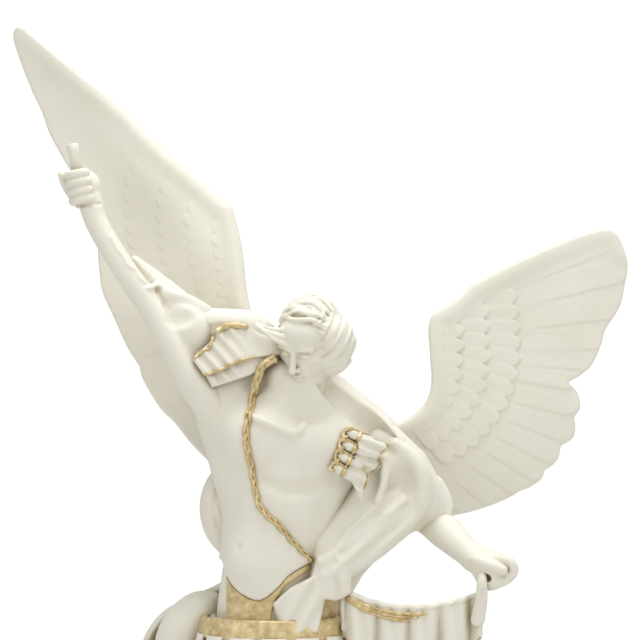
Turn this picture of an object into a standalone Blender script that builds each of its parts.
"""Winged angel figurine in cast resin: separate castings glued over steel dowels, on a rock base.

Every size is in millimetres, and becomes metres where a mesh is made. +X is the viewer's right, +Y points away
from the viewer, +Z is up, and the origin is the middle of the underside. Left and right are the figure's own.
"""

import math

import bmesh
import bpy
import numpy as np
from mathutils import Vector
from mathutils.bvhtree import BVHTree

MM = 0.001

# Fits
GLUE_GAP = 0.3
DOWEL_RADIUS = 1.2
DOWEL_DEPTH = 5.5
ROD_RADIUS = 1.5
ROD_DEPTH = 14.0

# Base
FELT_THICKNESS = 1.2
FELT_MARGIN = 3.0
BASE_HALF_WIDTH = 43.0
BASE_HALF_DEPTH = 36.0
BASE_HEIGHT = 24.0
STEP_HEIGHT = 9.0
STEP_HALF_WIDTH = 15.0
BOULDERS = (
    ((-30.0, -16.0, 10.0), (12.0, 13.0, 9.0)),
    ((28.0, 16.0, 10.0), (13.0, 13.0, 10.0)),
    ((-6.0, -28.0, 8.0), (16.0, 9.0, 8.0)),
    ((-26.0, 18.0, 12.0), (13.0, 11.0, 10.0)),
    ((30.0, -16.0, 9.0), (12.0, 13.0, 8.0)),
)

# Legs
LEG_LENGTH = 80.0
HIP_HALF_SPAN = 7.8
LEG_SEAT_BELOW_HIP = 12.0
THIGH_RADIUS = 7.2
KNEE_RADIUS = 5.2
CALF_RADIUS = 5.7
ANKLE_RADIUS = 3.9
FOOT_LENGTH = 23.0
FOOT_HALF_WIDTH = 4.6
FOOT_HEIGHT = 7.5
KNEE_SHARE = 0.5
STRIDE = 8.0

# Torso, from the hips up
HIP_X = -4.0
WAIST_X = -3.0
CHEST_X = 1.0
NECK_X = 4.0
HIP_TO_WAIST = 22.0
WAIST_TO_CHEST = 28.0
CHEST_TO_SHOULDERS = 12.5
SHOULDERS_TO_NECK = 6.0
HIP_HALF_WIDTH = 16.5
HIP_HALF_DEPTH = 11.5
WAIST_HALF_WIDTH = 15.2
WAIST_HALF_DEPTH = 10.6
CHEST_HALF_WIDTH = 21.5
CHEST_HALF_DEPTH = 12.8
SHOULDER_HALF_WIDTH = 21.0
SHOULDER_HALF_DEPTH = 10.5
COLLAR_HALF_WIDTH = 11.5
COLLAR_HALF_DEPTH = 8.0
SHOULDER_DROP_DEG = 16.0

# Head
NECK_RADIUS = 5.2
NECK_LENGTH = 8.0
HEAD_HEIGHT = 23.0
HEAD_HALF_WIDTH = 10.6
HEAD_HALF_DEPTH = 11.2
CHIN_RADIUS = 5.6
HEAD_BOW = 5.0
HEAD_LEAN = 3.5

# Arms
SHOULDER_RADIUS = 7.5
ARMPIT_RADIUS = 8.6
UPPER_ARM_RADIUS = 5.9
ELBOW_RADIUS = 4.9
FOREARM_RADIUS = 4.3
WRIST_RADIUS = 3.3
FIST_RADIUS = 5.3
FIST_LENGTH = 11.5
RIGHT_ARM_ROOT = Vector((-19.5, 2.0, 13.0))
RIGHT_UPPER_ARM = Vector((-13.5, -2.0, 20.0))
RIGHT_FOREARM = Vector((-11.7, -2.5, 16.5))
LEFT_ARM_ROOT = Vector((22.5, -1.5, 10.0))
LEFT_UPPER_ARM = Vector((10.8, 6.0, -21.5))
LEFT_FOREARM = Vector((12.5, -14.0, -10.8))
RIGHT_SHOULDER_FROM_CHEST = Vector((-28.0, 2.0, 29.7))
LEFT_SHOULDER_FROM_CHEST = Vector((25.0, 0.0, 4.5))

# Hilt in the raised fist
HILT_RADIUS = 1.5
HILT_ABOVE_FIST = 6.0
POMMEL_RADIUS = 1.65
POMMEL_LENGTH = 2.4

# Sleeves and shoulder lappets
RIGHT_SLEEVE_RADIUS = 10.8
RIGHT_SLEEVE_START = Vector((-10.0, 1.0, 23.0))
RIGHT_SLEEVE_END = Vector((-26.5, 2.5, 33.0))
LEFT_SLEEVE_RADIUS = 9.6
LEFT_SLEEVE_CUFF = 7.0
LAPPET_WIDTH = 3.6
LAPPET_SLIT = 0.9
LAPPET_LENGTH = 15.0
LAPPET_THICKNESS = 1.8
LAPPET_COUNT = 4
LAPPET_RISE = 5.0
LAPPET_BULGE = 3.0

# Skirt, its belt and its hanging strips
SKIRT_LENGTH = 36.0
SKIRT_TOP_ABOVE_HIP = 6.0
SKIRT_HALF_WIDTH = 23.5
SKIRT_HALF_DEPTH = 18.0
PLEAT_DEPTH = 1.5
PLEATS = 18
BELT_HEIGHT = 5.0
STRIP_LENGTH = 17.0
STRIP_THICKNESS = 1.6
STRIPS = 14

# Cloak, side drape and swag. An edge of the cloak is x, and drop below its top
CLOAK_THICKNESS = 2.2
CLOAK_LENGTH = 88.0
CLOAK_RIGHT_EDGE = (
    (-20.0, 0.0),
    (-24.6, 7.0),
    (-24.4, 14.0),
    (-20.5, 21.0),
    (-27.0, 27.5),
    (-35.5, 36.0),
    (-42.5, 52.0),
    (-48.0, 88.0),
)
CLOAK_LEFT_EDGE = ((12.0, 0.0), (14.0, 22.0), (20.0, 50.0), (27.0, 88.0))
CLOAK_TOP_BELOW_CHEST = 8.0
CLOAK_FOLDS = 5
CLOAK_FOLD_TOP = 1.0
CLOAK_FOLD_HEM = 3.7
CLOAK_BILLOW = 5.0
# Swellings of the cloak beside the body, as x, y, the drop below the cloak's top and the radius
CLOAK_LOBE = (
    (-16.0, 11.0, -4.2, 2.0),
    (-19.6, 10.0, 1.3, 4.0),
    (-20.4, 9.5, 6.8, 4.8),
    (-19.6, 9.5, 12.8, 4.4),
    (-18.0, 10.5, 18.8, 2.6),
)
CLOAK_DOME = (
    (-22.0, 9.0, 34.8, 4.5),
    (-25.5, 8.0, 37.3, 6.6),
    (-30.0, 8.5, 42.3, 6.4),
    (-35.0, 11.5, 51.8, 3.6),
)
DRAPE_RADIUS = 9.0
DRAPE_KNOT_RADIUS = 4.5
SWAG_THICKNESS = 1.8
SWAG_SAG = 6.5
SWAG_DROP = 20.0
SWAG_FOLD = 1.3
SWAG_FOLDS = 4

# Braid: each route is x, z, from the chest point and from the waist point
BRAID_RADIUS = 1.0
CHEST_BRAID_ROUTE = (
    (-9.0, 14.5),
    (-12.0, 8.0),
    (-12.3, -1.0),
    (-11.3, -9.0),
    (-8.0, -17.0),
    (-2.4, -23.5),
    (3.0, -28.0),
)
HEM_BRAID_ROUTE = (
    (-14.0, -7.5),
    (-11.0, -10.5),
    (-7.0, -11.5),
    (-2.5, -9.5),
    (2.5, -5.5),
    (6.0, -3.2),
)

# Wings: leading and trailing edges as x, z from the chest point, and depth behind it
WING_DEPTH = 13.5
WING_SWEEP = 9.0
WING_CUP = 2.5
WING_LEAD_THICKNESS = 5.0
WING_TRAIL_THICKNESS = 1.8
FEATHER_SCALLOP = 1.4
RIGHT_FEATHERS = 17
LEFT_FEATHERS = 15
RIGHT_WING_LEAD = (
    (-5.3, 15.9),
    (-11.1, 33.8),
    (-13.9, 52.3),
    (-16.7, 65.9),
    (-24.8, 74.3),
    (-37.3, 84.9),
    (-54.1, 99.2),
    (-68.7, 111.8),
    (-75.0, 117.2),
)
RIGHT_WING_TRAIL = (
    (-13.0, -7.2),
    (-22.7, -4.2),
    (-31.6, 11.7),
    (-43.5, 27.5),
    (-52.2, 40.7),
    (-54.5, 56.0),
    (-58.4, 69.9),
    (-64.6, 80.2),
    (-70.8, 92.3),
    (-74.9, 100.7),
    (-77.2, 113.0),
)
LEFT_WING_LEAD = (
    (9.0, 6.6),
    (29.7, 5.4),
    (36.4, 17.0),
    (36.7, 31.0),
    (39.3, 38.8),
    (46.5, 45.2),
    (58.6, 51.1),
    (74.0, 56.7),
    (86.4, 59.8),
)
LEFT_WING_TRAIL = (
    (14.0, -14.0),
    (42.5, -17.5),
    (61.3, -12.0),
    (69.0, -6.3),
    (76.0, 2.0),
    (78.6, 10.8),
    (77.0, 17.7),
    (83.4, 25.2),
    (86.2, 31.3),
    (90.0, 41.3),
    (92.0, 51.0),
)
RIGHT_WING_DOWELS = ((0.01, 0.45), (0.01, 0.85))
LEFT_WING_DOWELS = ((0.012, 0.3), (0.006, 0.75))

# Mesh fineness
SPAN_STEPS = 3
LIMB_SIDES = 14
TORSO_SIDES = 26
WING_COLUMNS = 46
WING_ROWS = 5

RESIN_WHITE = ("resin_white", (0.80, 0.77, 0.71), 0.45, 0.0)
GOLD_PAINT = ("gold_paint", (0.55, 0.40, 0.17), 0.40, 0.7)
STEEL = ("steel", (0.55, 0.56, 0.57), 0.35, 1.0)
FELT = ("felt", (0.05, 0.12, 0.08), 0.95, 0.0)

# Key points, each worked out from the sizes above
rock_top = FELT_THICKNESS + GLUE_GAP + BASE_HEIGHT
right_sole = rock_top + GLUE_GAP
left_sole = right_sole + STEP_HEIGHT
hip = Vector((HIP_X, 0.0, right_sole + LEG_LENGTH))
waist = Vector((WAIST_X, 0.0, hip.z + HIP_TO_WAIST))
chest = Vector((CHEST_X, 0.0, waist.z + WAIST_TO_CHEST))
shoulders = Vector(((CHEST_X + NECK_X) / 2, 1.0, chest.z + CHEST_TO_SHOULDERS))
collar = Vector((NECK_X, 1.0, shoulders.z + SHOULDERS_TO_NECK))
right_arm_root = chest + RIGHT_ARM_ROOT
left_arm_root = chest + LEFT_ARM_ROOT
right_shoulder = chest + RIGHT_SHOULDER_FROM_CHEST
right_elbow = right_shoulder + RIGHT_UPPER_ARM
right_wrist = right_elbow + RIGHT_FOREARM
left_shoulder = chest + LEFT_SHOULDER_FROM_CHEST
left_elbow = left_shoulder + LEFT_UPPER_ARM
left_wrist = left_elbow + LEFT_FOREARM
skirt_top = hip.z + SKIRT_TOP_ABOVE_HIP
skirt_hem = skirt_top - SKIRT_LENGTH


def spline(rows, per_span):
    """Rows of a Catmull-Rom curve through the given rows of numbers."""
    rows = np.array(rows, float)
    padded = np.vstack([2 * rows[0] - rows[1], rows, 2 * rows[-1] - rows[-2]])
    curve = []
    for before, start, end, after in zip(padded, padded[1:], padded[2:], padded[3:]):
        for t in np.arange(per_span) / per_span:
            bend = (2 * before - 5 * start + 4 * end - after) * t**2
            twist = (3 * start - before - 3 * end + after) * t**3
            curve.append(start + 0.5 * ((end - before) * t + bend + twist))
    curve.append(rows[-1])
    return np.array(curve)


def along(curve, share):
    """The point at a share of the way along evenly numbered rows."""
    place = min(max(share, 0.0), 1.0) * (len(curve) - 1)
    low = min(int(place), len(curve) - 2)
    return curve[low] + (curve[low + 1] - curve[low]) * (place - low)


def ring_loft(rings):
    """Points and faces of the closed skin over a row of rings, with flat ends."""
    sides = len(rings[0])
    points = [point for ring in rings for point in ring]
    faces = [list(range(sides)), list(range(len(points) - sides, len(points)))]
    for row in range(len(rings) - 1):
        for i in range(sides):
            j = (i + 1) % sides
            low, high = row * sides, (row + 1) * sides
            faces.append([low + i, low + j, high + j, high + i])
    return points, faces


def limb(stations, sides=LIMB_SIDES, grow=0.0, steps=SPAN_STEPS):
    """A round limb through stations of (point, radius), larger all round by grow."""
    rows = spline([(*point, radius) for point, radius in stations], steps)
    points, radii = rows[:, :3], rows[:, 3] + grow
    headings = np.gradient(points, axis=0)
    headings /= np.linalg.norm(headings, axis=1)[:, None]
    points[0] -= headings[0] * grow
    points[-1] += headings[-1] * grow
    side = np.cross(headings[0], (0.3, 1.0, 0.2))
    turns = np.arange(sides) * 2 * math.pi / sides
    rings = []
    for point, heading, radius in zip(points, headings, radii):
        side = side - heading * side.dot(heading)
        side /= np.linalg.norm(side)
        other = np.cross(heading, side)
        ring = [point + radius * (side * math.cos(a) + other * math.sin(a)) for a in turns]
        rings.append(ring)
    return ring_loft(rings)


def oval_loft(stations, sides, grow=0.0, steps=SPAN_STEPS, squareness=2.4, wave=None):
    """A stack of level ovals. A station is (point, half width, half depth, drop in degrees of its +X side).

    wave(share, angle) adds to the radius, with share running from the first station to the last.
    """
    rows = spline([(*point, wide, deep, drop) for point, wide, deep, drop in stations], steps)
    rows[0, 2] -= grow * np.sign(rows[-1, 2] - rows[0, 2])
    rows[-1, 2] += grow * np.sign(rows[-1, 2] - rows[0, 2])
    rings = []
    for number, (x, y, z, wide, deep, drop) in enumerate(rows):
        ring = []
        for step in range(sides):
            angle = 2 * math.pi * step / sides
            cosine, sine = math.cos(angle), math.sin(angle)
            extra = grow + (wave(number / (len(rows) - 1), angle) if wave else 0.0)
            across = math.copysign(abs(cosine) ** (2 / squareness), cosine) * (wide + extra)
            back = math.copysign(abs(sine) ** (2 / squareness), sine) * (deep + extra)
            fall = -across * math.tan(math.radians(drop))
            ring.append(np.array((x + across, y + back, z + fall)))
        rings.append(ring)
    return ring_loft(rings)


def plate(place, columns, rows, keep=None, closed=False):
    """Points and faces of a curved plate. place(u, v, side) gives a point, with side -1 in front and 1 behind.

    keep(column, row) picks the cells that have material, and closed joins the last column to the first.
    """
    lines = columns if closed else columns + 1
    numbers, points, faces = {}, [], []

    def vertex(column, row, side):
        key = (column % lines, row, side)
        if key not in numbers:
            numbers[key] = len(points)
            points.append(np.array(place(key[0] / columns, row / rows, side)))
        return numbers[key]

    def has(column, row):
        if closed:
            column %= columns
        inside = 0 <= column < columns and 0 <= row < rows
        return inside and (keep is None or keep(column, row))

    for column in range(columns):
        for row in range(rows):
            if not has(column, row):
                continue
            corners = [(column, row), (column + 1, row), (column + 1, row + 1), (column, row + 1)]
            beyond = [(column, row - 1), (column + 1, row), (column, row + 1), (column - 1, row)]
            for side in (-1, 1):
                faces.append([vertex(*corner, side) for corner in corners[::side]])
            for number, next_cell in enumerate(beyond):
                if not has(*next_cell):
                    a, b = corners[number], corners[(number + 1) % 4]
                    faces.append([vertex(*a, -1), vertex(*a, 1), vertex(*b, 1), vertex(*b, -1)])
    return points, faces


def mesh_of(name, shape, origin):
    points, faces = shape
    body = bmesh.new()
    vertices = [body.verts.new((Vector(point) - origin) * MM) for point in points]
    for face in faces:
        body.faces.new([vertices[i] for i in face])
    bmesh.ops.recalc_face_normals(body, faces=body.faces)
    mesh = bpy.data.meshes.new(name)
    body.to_mesh(mesh)
    body.free()
    mesh.shade_smooth()
    mesh.set_sharp_from_angle(angle=math.radians(40))
    return mesh


def material(name, colour, roughness, metallic):
    made = bpy.data.materials.get(name)
    if made is None:
        made = bpy.data.materials.new(name)
        made.use_nodes = True
        shader = made.node_tree.nodes["Principled BSDF"]
        shader.inputs["Base Color"].default_value = (*colour, 1.0)
        shader.inputs["Roughness"].default_value = roughness
        shader.inputs["Metallic"].default_value = metallic
    return made


def piece(name, shape, origin, finish=RESIN_WHITE):
    """A named solid with its origin at its seat, carried by the figurine's empty."""
    made = bpy.data.objects.new(name, mesh_of(name, shape, origin))
    made.location = origin * MM
    made.parent = figurine
    made.data.materials.append(material(*finish))
    bpy.context.scene.collection.objects.link(made)
    return made


def helper(name, shape):
    """A hidden solid that shapes other pieces."""
    made = bpy.data.objects.new(name, mesh_of(name, shape, Vector()))
    made.hide_render = True
    made.display_type = "WIRE"
    made.parent = figurine
    bpy.context.scene.collection.objects.link(made)
    return made


def combine(target, operation, *tools):
    for tool in tools:
        step = target.modifiers.new(f"{operation.lower()}_{tool.name}", "BOOLEAN")
        step.operation = operation
        step.solver = "EXACT"
        step.object = tool


def rod(start, end, radius, sides=12):
    return limb([(start, radius), (end, radius)], sides, steps=1)


def dowel(name, middle, direction, reach, radius, *carriers):
    """A steel pin through a seam, with its hole in each piece that it joins."""
    half = Vector(direction).normalized() * reach
    pin = piece(name, rod(middle - half, middle + half, radius), Vector(middle), STEEL)
    room = half.normalized() * GLUE_GAP
    hole = helper(f"{name}_hole", rod(middle - half - room, middle + half + room, radius + GLUE_GAP))
    for carrier in carriers:
        combine(carrier, "DIFFERENCE", hole)
    return pin


def torso_shape(grow=0.0):
    return oval_loft(
        [
            (hip - Vector((0.0, 0.0, SKIRT_TOP_ABOVE_HIP / 2)), HIP_HALF_WIDTH, HIP_HALF_DEPTH, 0.0),
            (hip.lerp(waist, 0.4), HIP_HALF_WIDTH, HIP_HALF_DEPTH, 1.0),
            (waist, WAIST_HALF_WIDTH, WAIST_HALF_DEPTH, 3.0),
            (waist.lerp(chest, 0.5), CHEST_HALF_WIDTH - 4.0, CHEST_HALF_DEPTH - 0.6, 8.0),
            (chest, CHEST_HALF_WIDTH, CHEST_HALF_DEPTH, 14.0),
            (shoulders, SHOULDER_HALF_WIDTH, SHOULDER_HALF_DEPTH, SHOULDER_DROP_DEG),
            (collar, COLLAR_HALF_WIDTH, COLLAR_HALF_DEPTH, SHOULDER_DROP_DEG),
        ],
        TORSO_SIDES,
        grow,
    )


def head_shape(grow=0.0):
    foot = collar - Vector((1.0, 0.0, NECK_LENGTH * 0.7))
    chin = collar + Vector((0.3, -HEAD_BOW * 0.3, 0.0))
    middle = chin + Vector((HEAD_LEAN * 0.6, -HEAD_BOW * 0.7, HEAD_HEIGHT * 0.46))
    crown = chin + Vector((HEAD_LEAN, -HEAD_BOW * 0.8, HEAD_HEIGHT))
    return oval_loft(
        [
            (foot, NECK_RADIUS, NECK_RADIUS, 0.0),
            (chin, NECK_RADIUS, NECK_RADIUS, 0.0),
            (chin.lerp(middle, 0.4), CHIN_RADIUS + 2.6, CHIN_RADIUS + 3.2, 0.0),
            (middle, HEAD_HALF_WIDTH, HEAD_HALF_DEPTH, 0.0),
            (middle.lerp(crown, 0.55), HEAD_HALF_WIDTH * 0.9, HEAD_HALF_DEPTH * 0.92, 0.0),
            (crown, HEAD_HALF_WIDTH * 0.3, HEAD_HALF_DEPTH * 0.3, 0.0),
        ],
        LIMB_SIDES + 6,
        grow,
        squareness=2.1,
    )


def arm_shape(root, shoulder, elbow, wrist, root_radius, grow=0.0):
    """Shoulder, arm and closed fist as one round form."""
    heading = (wrist - elbow).normalized()
    return limb(
        [
            (root, root_radius - 0.6),
            (root.lerp(shoulder, 0.5), root_radius),
            (shoulder, SHOULDER_RADIUS),
            (shoulder.lerp(elbow, 0.5), UPPER_ARM_RADIUS),
            (elbow, ELBOW_RADIUS),
            (elbow.lerp(wrist, 0.45), FOREARM_RADIUS),
            (wrist, WRIST_RADIUS),
            (wrist + heading * (FIST_LENGTH * 0.35), FIST_RADIUS),
            (wrist + heading * (FIST_LENGTH * 0.75), FIST_RADIUS),
            (wrist + heading * FIST_LENGTH, FIST_RADIUS * 0.6),
        ],
        grow=grow,
    )


def right_arm_shape(grow=0.0):
    return arm_shape(right_arm_root, right_shoulder, right_elbow, right_wrist, ARMPIT_RADIUS, grow)


def left_arm_shape(grow=0.0):
    return arm_shape(left_arm_root, left_shoulder, left_elbow, left_wrist, SHOULDER_RADIUS, grow)


def right_sleeve_shape(grow=0.0):
    """Cap sleeve: a short fat roll from the neck over the root of the raised arm."""
    start, end = chest + RIGHT_SLEEVE_START, chest + RIGHT_SLEEVE_END
    return limb(
        [
            (start, RIGHT_SLEEVE_RADIUS - 1.8),
            (start.lerp(end, 0.5), RIGHT_SLEEVE_RADIUS),
            (end, RIGHT_SLEEVE_RADIUS - 1.4),
        ],
        LIMB_SIDES + 4,
        grow,
    )


def left_sleeve_shape(grow=0.0):
    """Puffed sleeve from the shoulder to just above the elbow."""
    return limb(
        [
            (left_shoulder.lerp(left_elbow, -0.12), LEFT_SLEEVE_RADIUS - 1.5),
            (left_shoulder.lerp(left_elbow, 0.3), LEFT_SLEEVE_RADIUS),
            (left_shoulder.lerp(left_elbow, 0.62), LEFT_SLEEVE_RADIUS),
            (left_shoulder.lerp(left_elbow, 0.95), LEFT_SLEEVE_CUFF),
        ],
        LIMB_SIDES + 4,
        grow,
    )


def side_drape_shape(grow=0.0):
    """Cloth drawn from under the left arm across to a knot at the belt."""
    start = left_shoulder.lerp(left_elbow, 0.75) + Vector((-4.0, 4.0, 0.0))
    knot = Vector((waist.x + WAIST_HALF_WIDTH * 0.65, -WAIST_HALF_DEPTH, waist.z - HIP_TO_WAIST * 0.45))
    middle = start.lerp(knot, 0.5) + Vector((2.0, -2.0, 0.0))
    return limb(
        [
            (start, DRAPE_RADIUS * 0.75),
            (middle, DRAPE_RADIUS),
            (knot.lerp(middle, 0.25), DRAPE_KNOT_RADIUS + 2.0),
            (knot, DRAPE_KNOT_RADIUS),
        ],
        LIMB_SIDES + 2,
        grow,
    )


def leg_shape(top, knee, ankle, grow=0.0):
    return limb(
        [
            (top, THIGH_RADIUS),
            (top.lerp(knee, 0.5), (THIGH_RADIUS + KNEE_RADIUS) / 2 + 0.4),
            (knee, KNEE_RADIUS),
            (knee.lerp(ankle, 0.35), CALF_RADIUS),
            (ankle, ANKLE_RADIUS),
        ],
        grow=grow,
    )


def foot_shape(ankle, sole, turn):
    """A booted foot: upright rings from heel to toe, on a flat sole."""
    heading = Vector((math.sin(turn), -math.cos(turn), 0.0))
    sideways = Vector((heading.y, -heading.x, 0.0))
    heel = Vector((ankle.x, ankle.y, sole)) - heading * (FOOT_LENGTH * 0.28)
    rings = []
    for share, wide, high in (
        (0.0, 0.6, 0.75),
        (0.12, 0.85, 1.0),
        (0.4, 0.85, 1.0),
        (0.7, 1.0, 0.6),
        (0.92, 0.85, 0.42),
        (1.0, 0.45, 0.3),
    ):
        middle = heel + heading * (FOOT_LENGTH * share)
        ring = []
        for step in range(LIMB_SIDES):
            angle = 2 * math.pi * (step + 0.5) / LIMB_SIDES
            lift = max(math.sin(angle), -0.75) + 0.75
            side = math.cos(angle) * FOOT_HALF_WIDTH * wide
            ring.append(middle + sideways * side + Vector((0.0, 0.0, lift / 1.75 * FOOT_HEIGHT * high)))
        rings.append(ring)
    return ring_loft(rings)


def skirt_half_sizes(height):
    """Half width and half depth of the skirt's smooth envelope at a height."""
    share = (skirt_top - height) / SKIRT_LENGTH
    flare = max(share, 0.0) ** 0.8
    wide = HIP_HALF_WIDTH + 1.2 + (SKIRT_HALF_WIDTH - HIP_HALF_WIDTH - 1.2) * flare
    deep = HIP_HALF_DEPTH + 1.2 + (SKIRT_HALF_DEPTH - HIP_HALF_DEPTH - 1.2) * flare
    return wide, deep


def skirt_shape():
    def pleats(share, angle):
        return -PLEAT_DEPTH * share * (1 + math.cos(PLEATS * angle)) / 2

    stations = []
    for share in (0.0, 0.25, 0.5, 0.75, 1.0):
        height = skirt_top - SKIRT_LENGTH * share
        stations.append((Vector((hip.x, 0.0, height)), *skirt_half_sizes(height), 0.0))
    return oval_loft(stations, PLEATS * 3, steps=1, wave=pleats, squareness=2.1)


def skirt_lappets_shape():
    """Belt with a ring of hanging strips, one body, just outside the skirt."""
    per_strip = 3

    def place(u, v, side):
        height = skirt_top + GLUE_GAP - (BELT_HEIGHT + STRIP_LENGTH) * v
        wide, deep = skirt_half_sizes(height)
        out = 1.8 * GLUE_GAP + STRIP_THICKNESS * (1 - side) / 2
        angle = 2 * math.pi * u
        return hip.x + math.cos(angle) * (wide + out), math.sin(angle) * (deep + out), height

    def keep(column, row):
        return row < 1 or column % per_strip != 0

    return plate(place, STRIPS * per_strip, 4, keep, closed=True)


def belt_room_shape():
    """The space that the belt and its strips fill, with a gap all round."""
    stations = []
    for share in (0.0, 0.5, 1.0):
        height = skirt_top + 2 * GLUE_GAP - (BELT_HEIGHT + STRIP_LENGTH + 3 * GLUE_GAP) * share
        wide, deep = skirt_half_sizes(height)
        out = STRIP_THICKNESS + 2.8 * GLUE_GAP
        stations.append((Vector((hip.x, 0.0, height)), wide + out, deep + out, 0.0))
    return oval_loft(stations, 40, squareness=2.1)


def back_of(height):
    """How far back the body, its skirt and the strips over that reach at a height."""
    levels = (skirt_hem, skirt_top, skirt_top + BELT_HEIGHT, waist.z, chest.z)
    strips = STRIP_THICKNESS + 2 * GLUE_GAP
    depths = (
        SKIRT_HALF_DEPTH + strips,
        HIP_HALF_DEPTH + 2 + strips,
        HIP_HALF_DEPTH,
        WAIST_HALF_DEPTH,
        CHEST_HALF_DEPTH,
    )
    return float(np.interp(height, levels, depths))


def cloak_shape():
    """Cape hanging behind the body, billowing to the figure's right below the belt."""
    top = chest.z - CLOAK_TOP_BELOW_CHEST
    one_edge, other_edge = spline(CLOAK_RIGHT_EDGE, 8), spline(CLOAK_LEFT_EDGE, 8)

    def place(u, v, side):
        drop = CLOAK_LENGTH * v
        start = np.interp(drop, one_edge[:, 1], one_edge[:, 0])
        end = np.interp(drop, other_edge[:, 1], other_edge[:, 0])
        x = start + (end - start) * u
        wave = 1 + math.sin(2 * math.pi * (CLOAK_FOLDS * u - 0.5 * v) + 1.3 * math.sin(5 * u))
        fold = wave * (CLOAK_FOLD_TOP + (CLOAK_FOLD_HEM - CLOAK_FOLD_TOP) * v)
        billow = CLOAK_BILLOW * math.sin(math.pi * min(1.25 * v, 1.0)) * max(1 - 3 * u, 0.0)
        middle = back_of(top - drop) + CLOAK_THICKNESS + fold - billow
        return x, middle + CLOAK_THICKNESS * side / 2, top - drop + 1.2 * math.sin(9 * u + 1) * v**2

    return plate(place, CLOAK_FOLDS * 8, 13)


def cloak_swell_shape(stations):
    """A rounded swelling of the cloak beside the body."""
    top = chest.z - CLOAK_TOP_BELOW_CHEST
    return limb([(Vector((x, y, top - drop)), radius) for x, y, drop, radius in stations], 16, steps=2)


def swag_shape():
    """Corner of the cloak hanging in folds from the waist to the left fist."""
    fist = left_wrist + (left_wrist - left_elbow).normalized() * (FIST_LENGTH * 0.55)
    start = Vector((waist.x + WAIST_HALF_WIDTH * 0.95, -WAIST_HALF_DEPTH, waist.z - HIP_TO_WAIST * 0.45))
    end = fist - Vector((0.0, 0.0, FIST_RADIUS + 2 * GLUE_GAP))

    def place(u, v, side):
        point = start.lerp(end, u)
        sag = SWAG_SAG * 4 * u * (1 - u) * (1 - 0.35 * u)
        drop = 2.0 + SWAG_DROP * math.sin(math.pi * (0.08 + 0.84 * u)) ** 0.6
        fold = SWAG_FOLD * math.sin(2 * math.pi * SWAG_FOLDS * u + 1.2 * v)
        return point.x, point.y + fold + SWAG_THICKNESS * side / 2, point.z - sag - drop * v

    return plate(place, SWAG_FOLDS * 8, 4)


def left_lappets_shape():
    """Four straps on the left breast, joined by a band at their inner ends."""
    start = Vector((chest.x + CHEST_HALF_WIDTH * 0.45, -CHEST_HALF_DEPTH, chest.z + LAPPET_RISE))
    pitch = LAPPET_WIDTH + LAPPET_SLIT
    total = LAPPET_COUNT * pitch - LAPPET_SLIT
    strap = LAPPET_LENGTH * Vector((0.96, 0.12, -0.24))
    cross_way = Vector((-0.22, 0.05, -0.97)) * total
    edges = [0.0]
    for number in range(LAPPET_COUNT):
        edges.append(edges[-1] + LAPPET_WIDTH)
        if number < LAPPET_COUNT - 1:
            edges.append(edges[-1] + LAPPET_SLIT)

    def place(u, v, side):
        row = edges[round(v * (len(edges) - 1))] / total
        point = start + strap * u + cross_way * row
        bulge = LAPPET_BULGE * (0.5 * (1 - (2 * row - 1) ** 2) + 0.65 * (1 - u**2) - 0.75)
        return point.x, point.y - bulge + LAPPET_THICKNESS * side / 2, point.z

    def keep(column, row):
        return column < 1 or row % 2 == 0

    return plate(place, 6, len(edges) - 1, keep)


def wing_shape(lead_points, trail_points, feathers, grow=0.0):
    lead, trail = spline(lead_points, 8), spline(trail_points, 8)

    def place(u, v, side):
        front, back = along(lead, u), along(trail, u)
        ruling = (back - front) / np.linalg.norm(back - front)
        scallop = FEATHER_SCALLOP * (abs(math.sin(math.pi * feathers * u)) - 0.5) * min(1.0, 6 * u)
        flat = front + (back - front) * v + ruling * (scallop * v**3 + grow * (2 * v - 1))
        thick = WING_LEAD_THICKNESS + (WING_TRAIL_THICKNESS - WING_LEAD_THICKNESS) * v**0.7
        thick *= 1 - 0.55 * u
        depth = WING_DEPTH + WING_SWEEP * u + WING_CUP * 4 * v * (1 - v) * u
        return chest.x + flat[0], depth + side * (thick / 2 + grow), chest.z + flat[1]

    return plate(place, WING_COLUMNS, WING_ROWS)


def right_wing_shape(grow=0.0):
    return wing_shape(RIGHT_WING_LEAD, RIGHT_WING_TRAIL, RIGHT_FEATHERS, grow)


def left_wing_shape(grow=0.0):
    return wing_shape(LEFT_WING_LEAD, LEFT_WING_TRAIL, LEFT_FEATHERS, grow)


def wing_point(lead_points, trail_points, share, across):
    """A point in the middle of a wing's thickness near its root."""
    front, back = along(spline(lead_points, 8), share), along(spline(trail_points, 8), share)
    flat = front + (back - front) * across
    return Vector((chest.x + flat[0], WING_DEPTH, chest.z + flat[1]))


def braid_shape(surface, start, route):
    """A cord laid on the torso's front along a route of x, z steps from a start."""
    in_front = 3 * CHEST_HALF_DEPTH
    stations = []
    for x, z in spline(route, 4):
        hit, normal, _, _ = surface.ray_cast(start + Vector((x, -in_front, z)), Vector((0.0, 1.0, 0.0)))
        stations.append((hit + normal * (BRAID_RADIUS + 1.4 * GLUE_GAP), BRAID_RADIUS))
    return limb(stations, 8, steps=1)


def base_shape():
    """Low rock with a flat foot and a flat top."""
    bottom = FELT_THICKNESS + GLUE_GAP
    stations = []
    for share, inset in ((0.0, 2.5), (0.19, 1.2), (0.55, 5.0), (0.82, 9.6), (1.0, 13.0)):
        place = Vector((0.0, 0.0, bottom + BASE_HEIGHT * share))
        stations.append((place, BASE_HALF_WIDTH - inset, BASE_HALF_DEPTH - inset, 0.0))
    return oval_loft(stations, 40, steps=2, squareness=2.3)


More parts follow.
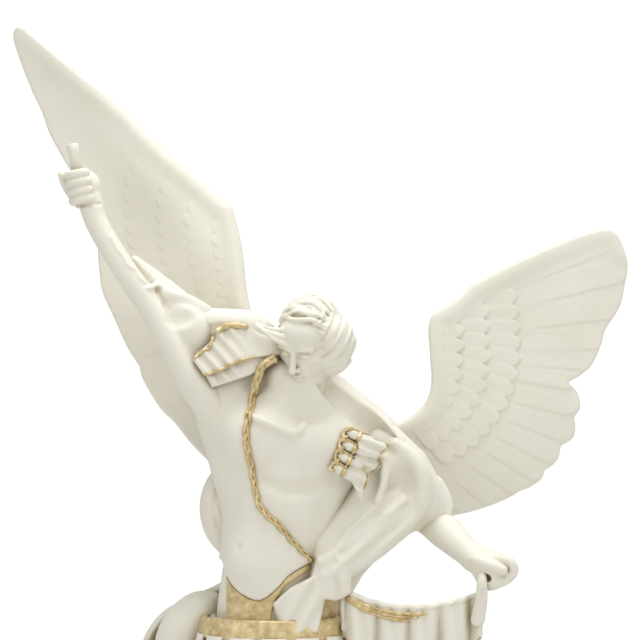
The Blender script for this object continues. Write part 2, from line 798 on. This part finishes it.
def boulder_shape(place, sizes):
    """A boulder set into the rock, flat where it meets the foot of the base."""
    bottom = FELT_THICKNESS + GLUE_GAP
    middle, (wide, deep, high) = Vector(place), sizes
    stations = []
    for rise in np.linspace(max(bottom - middle.z, -0.9 * high), 0.97 * high, 6):
        share = math.sqrt(1 - (rise / high) ** 2)
        stations.append((middle + Vector((0.0, 0.0, rise)), wide * share, deep * share, 0.0))
    return oval_loft(stations, 20, steps=1, squareness=2.0)


def step_shape(under):
    """The higher rock under the left boot."""

    def crags(share, angle):
        return 0.9 * math.sin(4 * angle + 1.0 + 2 * share)

    foot = Vector((under.x, under.y, rock_top - BASE_HEIGHT * 0.4))
    top = Vector((under.x, under.y, rock_top + STEP_HEIGHT))
    return oval_loft(
        [
            (foot, STEP_HALF_WIDTH + 2.0, STEP_HALF_WIDTH + 2.0, 0.0),
            (foot.lerp(top, 0.6), STEP_HALF_WIDTH, STEP_HALF_WIDTH, 0.0),
            (top, STEP_HALF_WIDTH - 2.5, STEP_HALF_WIDTH - 2.5, 0.0),
        ],
        24,
        wave=crags,
    )


def felt_shape():
    wide, deep = BASE_HALF_WIDTH - 1.5 - FELT_MARGIN, BASE_HALF_DEPTH - 1.5 - FELT_MARGIN
    stations = [(Vector((0.0, 0.0, height)), wide, deep, 0.0) for height in (0.0, FELT_THICKNESS)]
    return oval_loft(stations, 40, steps=1, squareness=2.2)


def build_base(left_ankle):
    piece("felt_pad", felt_shape(), Vector(), FELT)
    base = piece("base_rock", base_shape(), Vector((0.0, 0.0, FELT_THICKNESS + GLUE_GAP)))
    under = left_ankle + Vector((0.0, -FOOT_LENGTH * 0.22, 0.0))
    combine(base, "UNION", helper("step_rock", step_shape(under)))
    for number, (place, sizes) in enumerate(BOULDERS):
        combine(base, "UNION", helper(f"boulder_{number + 1}", boulder_shape(place, sizes)))
    return base


def build_leg(side, top, knee, ankle, sole, turn, base):
    leg = piece(f"{side}_leg", leg_shape(top, knee, ankle), Vector(top))
    combine(leg, "UNION", helper(f"{side}_foot", foot_shape(ankle, sole, turn)))
    pin_middle = Vector((ankle.x, ankle.y, sole))
    dowel(f"{side}_leg_rod", pin_middle, (0.0, 0.0, 1.0), ROD_DEPTH / 2, ROD_RADIUS, leg, base)
    return leg


def build_lower_body():
    left_hip = hip + Vector((HIP_HALF_SPAN, 0.0, -LEG_SEAT_BELOW_HIP))
    right_hip = hip + Vector((-HIP_HALF_SPAN, 0.0, -LEG_SEAT_BELOW_HIP))
    left_ankle = Vector((left_hip.x + 8.0, -STRIDE * 0.6, left_sole + FOOT_HEIGHT * 0.8))
    right_ankle = Vector((right_hip.x - 5.0, 3.0, right_sole + FOOT_HEIGHT * 0.8))
    left_knee = left_hip.lerp(left_ankle, KNEE_SHARE) + Vector((2.0, -STRIDE, 2.0))
    right_knee = right_hip.lerp(right_ankle, KNEE_SHARE) + Vector((0.0, -2.5, 0.0))
    base = build_base(left_ankle)
    build_leg("left", left_hip, left_knee, left_ankle, left_sole, 0.35, base)
    build_leg("right", right_hip, right_knee, right_ankle, right_sole, -0.5, base)
    skirt = piece("skirt", skirt_shape(), Vector((hip.x, 0.0, skirt_top)))
    combine(
        skirt,
        "DIFFERENCE",
        helper("left_leg_room", leg_shape(left_hip, left_knee, left_ankle, GLUE_GAP)),
        helper("right_leg_room", leg_shape(right_hip, right_knee, right_ankle, GLUE_GAP)),
        helper("torso_room", torso_shape(GLUE_GAP)),
    )
    piece("skirt_lappets", skirt_lappets_shape(), Vector((hip.x, 0.0, skirt_top)), GOLD_PAINT)
    helper("belt_room", belt_room_shape())
    return skirt


def build_torso(skirt):
    shape = torso_shape()
    torso = piece("torso", shape, Vector(waist))
    rooms = {
        "head": helper("head_room", head_shape(GLUE_GAP)),
        "right_arm": helper("right_arm_room", right_arm_shape(GLUE_GAP)),
        "left_arm": helper("left_arm_room", left_arm_shape(GLUE_GAP)),
        "right_wing": helper("right_wing_room", right_wing_shape(GLUE_GAP)),
        "left_wing": helper("left_wing_room", left_wing_shape(GLUE_GAP)),
    }
    combine(torso, "DIFFERENCE", *rooms.values())
    foot = Vector((hip.x, 0.0, hip.z - SKIRT_TOP_ABOVE_HIP / 2))
    dowel("waist_rod", foot, (0.0, 0.0, 1.0), DOWEL_DEPTH, ROD_RADIUS, torso, skirt)
    surface = BVHTree.FromPolygons([Vector(p) for p in shape[0]], shape[1])
    piece("chest_braid", braid_shape(surface, chest, CHEST_BRAID_ROUTE), Vector(chest), GOLD_PAINT)
    piece("hem_braid", braid_shape(surface, waist, HEM_BRAID_ROUTE), Vector(waist), GOLD_PAINT)
    return torso


def build_upper_body(torso):
    torso_room = bpy.data.objects["torso_room"]
    right_arm_room = bpy.data.objects["right_arm_room"]
    left_arm_room = bpy.data.objects["left_arm_room"]
    head_room = bpy.data.objects["head_room"]
    right_wing_room = bpy.data.objects["right_wing_room"]
    left_wing_room = bpy.data.objects["left_wing_room"]
    belt_room = bpy.data.objects["belt_room"]
    head = piece("head", head_shape(), Vector(collar))
    neck_seam = collar - Vector((1.0, 0.0, NECK_LENGTH * 0.7))
    dowel("neck_dowel", neck_seam, (0, 0, 1), DOWEL_DEPTH, DOWEL_RADIUS, head, torso)
    right_arm = piece("right_arm", right_arm_shape(), Vector(right_shoulder))
    left_arm = piece("left_arm", left_arm_shape(), Vector(left_shoulder))
    right_sleeve = piece("right_sleeve", right_sleeve_shape(), Vector(right_shoulder))
    combine(right_sleeve, "DIFFERENCE", torso_room, right_arm_room, head_room, right_wing_room)
    left_sleeve = piece("left_sleeve", left_sleeve_shape(), Vector(left_shoulder))
    combine(left_sleeve, "DIFFERENCE", torso_room, left_arm_room, left_wing_room)
    right_way = right_shoulder - right_arm_root
    dowel("right_arm_dowel", right_arm_root, right_way, DOWEL_DEPTH, DOWEL_RADIUS, right_arm, torso)
    left_seat = left_shoulder.lerp(shoulders, 0.25)
    dowel("left_arm_dowel", left_seat, shoulders - left_shoulder, DOWEL_DEPTH, DOWEL_RADIUS, left_arm, torso)
    left_sleeve_room = helper("left_sleeve_room", left_sleeve_shape(GLUE_GAP))
    lappets = piece("left_lappets", left_lappets_shape(), Vector(chest), GOLD_PAINT)
    combine(lappets, "DIFFERENCE", torso_room, left_sleeve_room)
    drape = piece("side_drape", side_drape_shape(), Vector(waist))
    combine(drape, "DIFFERENCE", torso_room, left_arm_room, left_sleeve_room, left_wing_room, belt_room)
    return right_arm


def build_hilt(right_arm):
    """The hilt slides up out of the raised fist along its own axis."""
    heading = (right_wrist - right_elbow).normalized()
    fist = right_wrist + heading * (FIST_LENGTH * 0.55)
    axis = Vector((-0.18, 0.0, 1.0)).normalized()
    bottom = fist - axis * (FIST_RADIUS * 0.5)
    top = fist + axis * (FIST_RADIUS + HILT_ABOVE_FIST)
    hilt = piece(
        "hilt",
        limb(
            [
                (bottom, HILT_RADIUS),
                (top - axis * (POMMEL_LENGTH + 0.4), HILT_RADIUS),
                (top - axis * POMMEL_LENGTH, POMMEL_RADIUS),
                (top - axis * POMMEL_LENGTH * 0.3, POMMEL_RADIUS),
                (top, HILT_RADIUS),
            ],
            12,
            steps=1,
        ),
        Vector(bottom),
    )
    bore = rod(bottom - axis * GLUE_GAP, top, HILT_RADIUS + GLUE_GAP)
    combine(right_arm, "DIFFERENCE", helper("hilt_bore", bore))
    return hilt


def build_wings(torso):
    for side, shape, lead, trail, dowels in (
        ("right", right_wing_shape(), RIGHT_WING_LEAD, RIGHT_WING_TRAIL, RIGHT_WING_DOWELS),
        ("left", left_wing_shape(), LEFT_WING_LEAD, LEFT_WING_TRAIL, LEFT_WING_DOWELS),
    ):
        seat = wing_point(lead, trail, *dowels[0])
        wing = piece(f"{side}_wing", shape, seat)
        for name, (share, across) in zip(("upper", "lower"), dowels):
            middle = wing_point(lead, trail, share, across) - Vector((0.0, DOWEL_DEPTH * 0.7, 0.0))
            dowel(f"{side}_wing_{name}_dowel", middle, (0, 1, 0), DOWEL_DEPTH, DOWEL_RADIUS, wing, torso)


def build_cloths():
    nape = Vector((chest.x, CHEST_HALF_DEPTH, chest.z - CLOAK_TOP_BELOW_CHEST))
    cloak = piece("cloak", cloak_shape(), nape)
    lobe = helper("cloak_lobe", cloak_swell_shape(CLOAK_LOBE))
    dome = helper("cloak_dome", cloak_swell_shape(CLOAK_DOME))
    combine(cloak, "UNION", lobe, dome)
    rooms = ("torso_room", "belt_room", "right_wing_room", "left_wing_room")
    combine(cloak, "DIFFERENCE", *(bpy.data.objects[room] for room in rooms))
    swag = piece("swag", swag_shape(), Vector(left_wrist))
    drape_room = helper("drape_room", side_drape_shape(GLUE_GAP))
    combine(swag, "DIFFERENCE", bpy.data.objects["torso_room"], bpy.data.objects["belt_room"], drape_room)


for old in list(bpy.data.objects):
    bpy.data.objects.remove(old)
figurine = bpy.data.objects.new("figurine", None)
bpy.context.scene.collection.objects.link(figurine)
skirt_piece = build_lower_body()
torso_piece = build_torso(skirt_piece)
right_arm_piece = build_upper_body(torso_piece)
build_hilt(right_arm_piece)
build_wings(torso_piece)
build_cloths()
